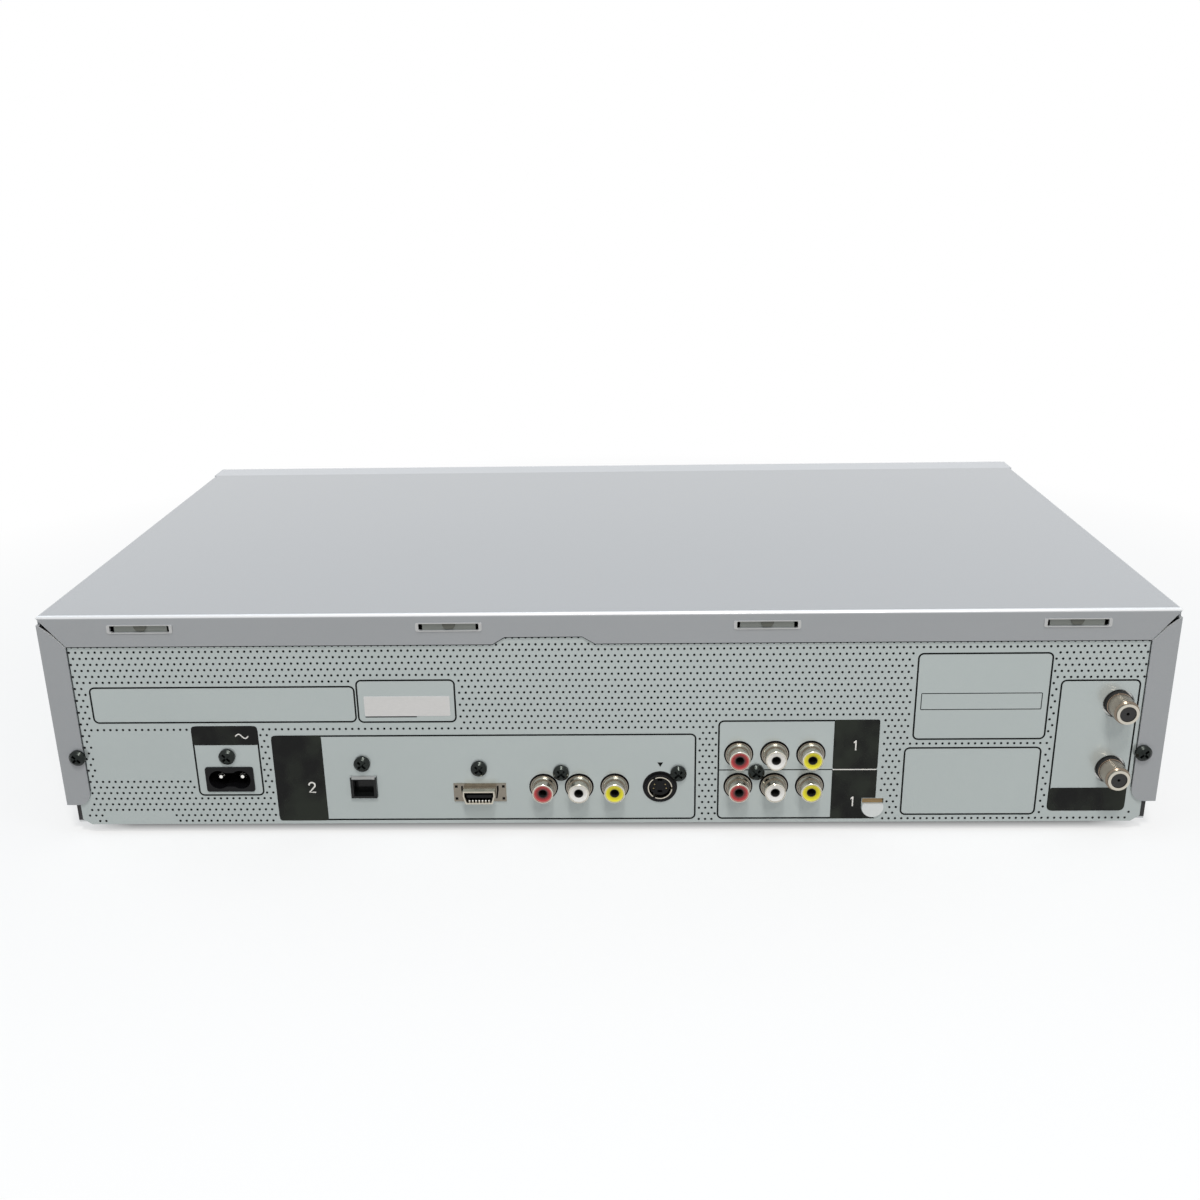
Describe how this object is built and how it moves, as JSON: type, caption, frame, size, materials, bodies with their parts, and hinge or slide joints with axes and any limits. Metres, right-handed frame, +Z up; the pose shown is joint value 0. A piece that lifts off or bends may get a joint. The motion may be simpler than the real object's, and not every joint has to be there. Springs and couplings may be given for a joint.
{
  "type": "disc and cassette combination player",
  "caption": "Low wide silver player for discs and video cassettes, with a folded sheet cover, a jack field on its back, a disc tray, a cassette flap, keys and a jack door.",
  "frame": {"origin": "under the middle of the case, on the plane that the feet rest on", "axes": "+Z up, +X to the right of someone who faces the front panel, front panel towards -Y, jacks towards +Y"},
  "size_m": [0.43, 0.2532, 0.094],
  "materials": {
    "silver_paint": "satin light silver paint",
    "panel_print": "satin silver print with fine dots",
    "zinc_steel": "bare zinc coated sheet",
    "nickel": "bright nickel plate",
    "aluminium": "turned",
    "silver_plastic": "satin silver painted moulding",
    "black_plastic": "fine grained black moulding",
    "grey_plastic": "moulded",
    "ivory_plastic": "low friction gear plastic",
    "dark_window": "smoked, polished",
    "rubber": "moulded",
    "red_plastic": "moulded",
    "white_plastic": "moulded",
    "yellow_plastic": "moulded",
    "green_board": "solder mask",
    "tan_board": "phenolic board",
    "black_steel": "black zinc",
    "transformer_tape": "tape and ferrite",
    "capacitor_sleeve": "shrunk sleeve"
  },
  "bodies": {
    "case": {"top_cover": "silver_paint", "rear_panel": "panel_print", "bottom_plate": "zinc_steel", "main_frame": "black_plastic", "front_panel": "silver_plastic", "display_window": "dark_window", "feet": "rubber", "rear_screws": "black_steel", "ac_inlet": "black_plastic", "ac_pins": "nickel", "optical_jack": "black_plastic", "d_terminal_shell": "nickel", "jack_blocks": "black_plastic", "rca_shells": "nickel", "rca_red_rings": "red_plastic", "rca_white_rings": "white_plastic", "rca_yellow_rings": "yellow_plastic", "svideo_shield": "nickel", "tuner_can": "zinc_steel", "f_connectors": "nickel", "main_board": "green_board", "power_board": "tan_board", "front_board": "tan_board", "transformer": "transformer_tape", "capacitors": "capacitor_sleeve", "deck_plate": "zinc_steel", "lower_drum": "aluminium", "tape_heads": "zinc_steel", "lift_frame": "zinc_steel", "loader_frame": "black_plastic", "tray_motor": "zinc_steel", "clamp_bridge": "zinc_steel"},
    "shutter": {"optical_shutter": "black_plastic"},
    "flap": {"cassette_flap": "silver_plastic"},
    "carriage": {"holder_carriage": "zinc_steel"},
    "holder": {"cassette_holder": "zinc_steel"},
    "upper_drum": {"upper_drum": "aluminium"},
    "capstan": {"capstan": "zinc_steel"},
    "cam": {"cam_gear": "ivory_plastic"},
    "pinch_arm": {"pinch_arm": "zinc_steel"},
    "pinch_roller": {"pinch_roller": "rubber"},
    "supply_reel": {"supply_reel": "grey_plastic"},
    "takeup_reel": {"takeup_reel": "grey_plastic"},
    "tray": {"disc_tray": "black_plastic", "tray_bezel": "silver_plastic"},
    "drive_gear": {"drive_gear": "ivory_plastic"},
    "motor_pinion": {"motor_pinion": "ivory_plastic"},
    "traverse": {"traverse_deck": "grey_plastic"},
    "turntable": {"turntable": "grey_plastic"},
    "sled": {"pickup_sled": "grey_plastic"},
    "clamp_puck": {"clamp_puck": "black_plastic"},
    "jack_door": {"jack_door": "silver_plastic"},
    "power_button": {"power_button": "silver_plastic"},
    "eject_button": {"eject_button": "silver_plastic"},
    "open_close_button": {"open_close_button": "silver_plastic"},
    "play_button": {"play_button": "silver_plastic"},
    "stop_button": {"stop_button": "silver_plastic"},
    "record_button": {"record_button": "silver_plastic"},
    "wind_rocker": {"wind_rocker": "silver_plastic"},
    "channel_rocker": {"channel_rocker": "silver_plastic"}
  },
  "joints": [
    {"name": "optical_shutter_swing", "type": "hinge", "parent": "case", "child": "shutter", "pos_m": [0.0955, 0.1133, 0.0237], "axis": [-1, 0, 0], "range_deg": [0, 80], "stiffness_Nm_per_rad": 0.0004, "springref_deg": -17.19},
    {"name": "cassette_flap_swing", "type": "hinge", "parent": "case", "child": "flap", "pos_m": [-0.105, -0.1237, 0.0774], "axis": [1, 0, 0], "range_deg": [0, 82], "stiffness_Nm_per_rad": 0.012, "springref_deg": -20.05},
    {"name": "holder_in", "type": "slide", "parent": "case", "child": "carriage", "axis": [0, 1, 0], "range_m": [0, 0.055]},
    {"name": "holder_down", "type": "slide", "parent": "carriage", "child": "holder", "axis": [0, 0, -1], "range_m": [0, 0.02]},
    {"name": "drum_spin", "type": "hinge", "parent": "case", "child": "upper_drum", "pos_m": [-0.108, 0.0616, 0.028], "axis": [0, 0.1045, 0.9945], "continuous": true},
    {"name": "capstan_spin", "type": "hinge", "parent": "case", "child": "capstan", "pos_m": [-0.043, 0.0276, 0.0235], "axis": [0, 0, 1], "continuous": true},
    {"name": "cam_turn", "type": "hinge", "parent": "case", "child": "cam", "pos_m": [-0.028, 0.0626, 0.0235], "axis": [0, 0, 1], "range_deg": [0, 300]},
    {"name": "pinch_arm_swing", "type": "hinge", "parent": "case", "child": "pinch_arm", "pos_m": [-0.025, 0.0346, 0.0235], "axis": [0, 0, 1], "range_deg": [-0.01, 20.01]},
    {"name": "pinch_roller_spin", "type": "hinge", "parent": "pinch_arm", "child": "pinch_roller", "pos_m": [-0.04451, 0.04348, 0.0235], "axis": [0, 0, 1], "continuous": true},
    {"name": "supply_reel_spin", "type": "hinge", "parent": "case", "child": "supply_reel", "pos_m": [-0.15075, -0.0364, 0.0235], "axis": [0, 0, 1], "continuous": true},
    {"name": "takeup_reel_spin", "type": "hinge", "parent": "case", "child": "takeup_reel", "pos_m": [-0.05925, -0.0364, 0.0235], "axis": [0, 0, 1], "continuous": true},
    {"name": "tray_slide", "type": "slide", "parent": "case", "child": "tray", "axis": [0, -1, 0], "range_m": [0, 0.135]},
    {"name": "drive_gear_spin", "type": "hinge", "parent": "case", "child": "drive_gear", "pos_m": [0.074, -0.0832, 0.051], "axis": [0, 0, 1], "range_deg": [-5, 865]},
    {"name": "motor_pinion_spin", "type": "hinge", "parent": "case", "child": "motor_pinion", "pos_m": [0.09558, -0.0892, 0.051], "axis": [0, 0, 1], "range_deg": [-2600, 20]},
    {"name": "traverse_tilt", "type": "hinge", "parent": "case", "child": "traverse", "pos_m": [0.116, 0.0321, 0.052], "axis": [1, 0, 0], "range_deg": [0, 5]},
    {"name": "turntable_spin", "type": "hinge", "parent": "traverse", "child": "turntable", "pos_m": [0.116, -0.0559, 0.064], "axis": [0, 0, 1], "continuous": true},
    {"name": "sled_slide", "type": "slide", "parent": "traverse", "child": "sled", "axis": [0, 1, 0], "range_m": [0, 0.032]},
    {"name": "clamp_spin", "type": "hinge", "parent": "case", "child": "clamp_puck", "pos_m": [0.116, -0.0559, 0.064], "axis": [0, 0, 1], "continuous": true},
    {"name": "jack_door_swing", "type": "hinge", "parent": "case", "child": "jack_door", "pos_m": [-0.124, -0.1226, 0.0142], "axis": [1, 0, 0], "range_deg": [0, 92]},
    {"name": "power_press", "type": "slide", "parent": "case", "child": "power_button", "axis": [0, 1, 0], "range_m": [0, 0.0008], "stiffness_N_per_m": 500, "springref_m": -0.001},
    {"name": "eject_press", "type": "slide", "parent": "case", "child": "eject_button", "axis": [0, 1, 0], "range_m": [0, 0.0008], "stiffness_N_per_m": 500, "springref_m": -0.001},
    {"name": "open_close_press", "type": "slide", "parent": "case", "child": "open_close_button", "axis": [0, 1, 0], "range_m": [0, 0.0008], "stiffness_N_per_m": 500, "springref_m": -0.001},
    {"name": "play_press", "type": "slide", "parent": "case", "child": "play_button", "axis": [0, 1, 0], "range_m": [0, 0.0008], "stiffness_N_per_m": 500, "springref_m": -0.001},
    {"name": "stop_press", "type": "slide", "parent": "case", "child": "stop_button", "axis": [0, 1, 0], "range_m": [0, 0.0008], "stiffness_N_per_m": 500, "springref_m": -0.001},
    {"name": "record_press", "type": "slide", "parent": "case", "child": "record_button", "axis": [0, 1, 0], "range_m": [0, 0.0008], "stiffness_N_per_m": 500, "springref_m": -0.001},
    {"name": "wind_rock", "type": "hinge", "parent": "case", "child": "wind_rocker", "pos_m": [0.1335, -0.1226, 0.017], "axis": [0, 0, 1], "range_deg": [-2.2, 2.2], "stiffness_Nm_per_rad": 0.3},
    {"name": "channel_rock", "type": "hinge", "parent": "case", "child": "channel_rocker", "pos_m": [0.193, -0.1226, 0.0235], "axis": [1, 0, 0], "range_deg": [-4, 4], "stiffness_Nm_per_rad": 0.1}
  ],
  "couplings": [
    {"joint": "drive_gear_spin", "follows": "tray_slide", "rad_per_m": 111.11},
    {"joint": "motor_pinion_spin", "follows": "tray_slide", "rad_per_m": -333.33},
    {"joint": "pinch_arm_swing", "follows": "cam_turn", "ratio": 0.066667}
  ]
}
